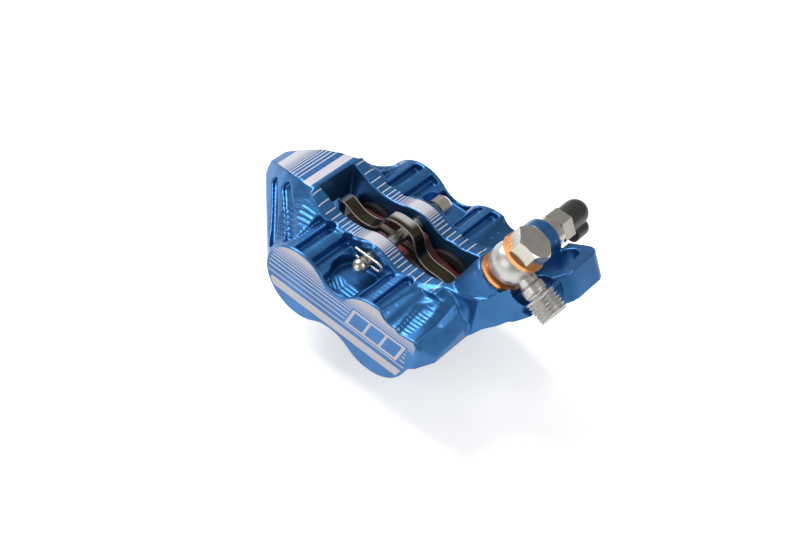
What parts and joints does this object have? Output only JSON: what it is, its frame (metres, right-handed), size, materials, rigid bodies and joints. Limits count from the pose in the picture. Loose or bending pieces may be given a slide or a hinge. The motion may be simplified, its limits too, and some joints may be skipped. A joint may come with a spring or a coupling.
{
  "type": "brake caliper",
  "caption": "Machined one-piece bicycle disc brake caliper with post-mount ears, opposed pistons, top-loading pads on a pin, a formed pad spring, a banjo hose fitting and a capped bleed nipple.",
  "frame": {"origin": "on the brake disc's middle plane, midway between the two piston lines, at the height of the piston axes", "axes": "+X runs along the row of pistons towards the hose end, +Y is the piston axis pointing to the frame or fork side, +Z points away from the wheel axle; the mount faces are tilted 29 degrees about Y"},
  "size_m": [0.1004, 0.0645, 0.0612],
  "materials": {
    "blue_anodised": "satin blue anodised, machined and laser etched",
    "piston_phenolic": "smooth dark phenolic",
    "seal_rubber": "smooth",
    "cap_blue": "satin blue anodised",
    "o_ring": "smooth",
    "plate_paint": "dark red satin paint",
    "friction_compound": "rough pressed compound",
    "spring_steel": "bright stainless strip",
    "stainless": "turned stainless",
    "copper_washer": "soft copper",
    "banjo_steel": "bead blasted stainless",
    "cap_rubber": "matt black"
  },
  "bodies": {
    "caliper": {"caliper_body": "blue_anodised", "seal_lead_outer": "seal_rubber", "seal_lead_inner": "seal_rubber", "seal_trail_outer": "seal_rubber", "seal_trail_inner": "seal_rubber", "bore_cap_lead": "cap_blue", "bore_cap_trail": "cap_blue", "cap_ring_lead": "o_ring", "cap_ring_trail": "o_ring", "pad_spring": "spring_steel", "pad_pin": "stainless", "pin_clip": "stainless", "washer_lower": "copper_washer", "washer_upper": "copper_washer", "banjo_bolt": "stainless"},
    "outer_pad": {"pad_plate_outer": "plate_paint", "pad_friction_outer": "friction_compound"},
    "inner_pad": {"pad_plate_inner": "plate_paint", "pad_friction_inner": "friction_compound"},
    "nipple": {"bleed_nipple": "stainless"},
    "dust_cap": {"nipple_cap": "cap_rubber"},
    "hose_fitting": {"banjo": "banjo_steel"},
    "lead_outer_piston": {"piston_lead_outer": "piston_phenolic"},
    "lead_inner_piston": {"piston_lead_inner": "piston_phenolic"},
    "trail_outer_piston": {"piston_trail_outer": "piston_phenolic"},
    "trail_inner_piston": {"piston_trail_inner": "piston_phenolic"}
  },
  "joints": [
    {"name": "outer_pad_slide", "type": "slide", "parent": "caliper", "child": "outer_pad", "axis": [0, 1, 0], "range_m": [0, 0.001]},
    {"name": "inner_pad_slide", "type": "slide", "parent": "caliper", "child": "inner_pad", "axis": [0, -1, 0], "range_m": [0, 0.001]},
    {"name": "lead_outer_piston_slide", "type": "slide", "parent": "caliper", "child": "lead_outer_piston", "axis": [0, 1, 0], "range_m": [0, 0.001]},
    {"name": "lead_inner_piston_slide", "type": "slide", "parent": "caliper", "child": "lead_inner_piston", "axis": [0, -1, 0], "range_m": [0, 0.001]},
    {"name": "trail_outer_piston_slide", "type": "slide", "parent": "caliper", "child": "trail_outer_piston", "axis": [0, 1, 0], "range_m": [0, 0.001]},
    {"name": "trail_inner_piston_slide", "type": "slide", "parent": "caliper", "child": "trail_inner_piston", "axis": [0, -1, 0], "range_m": [0, 0.001]},
    {"name": "nipple_turn", "type": "hinge", "parent": "caliper", "child": "nipple", "pos_m": [0.032, 0.02, 0.0203], "axis": [0, 1, 0], "range_deg": [0, 180]},
    {"name": "dust_cap_pull", "type": "slide", "parent": "nipple", "child": "dust_cap", "axis": [0, 1, 0], "range_m": [0, 0.009]},
    {"name": "hose_fitting_swing", "type": "hinge", "parent": "caliper", "child": "hose_fitting", "pos_m": [0.0344, 0.0013, 0.02583], "axis": [0.377, 0.246, 0.893], "range_deg": [-6, 6]}
  ],
  "couplings": [
    {"joint": "inner_pad_slide", "follows": "outer_pad_slide", "ratio": 1},
    {"joint": "lead_outer_piston_slide", "follows": "outer_pad_slide", "ratio": 1},
    {"joint": "lead_inner_piston_slide", "follows": "outer_pad_slide", "ratio": 1},
    {"joint": "trail_outer_piston_slide", "follows": "outer_pad_slide", "ratio": 1},
    {"joint": "trail_inner_piston_slide", "follows": "outer_pad_slide", "ratio": 1}
  ]
}
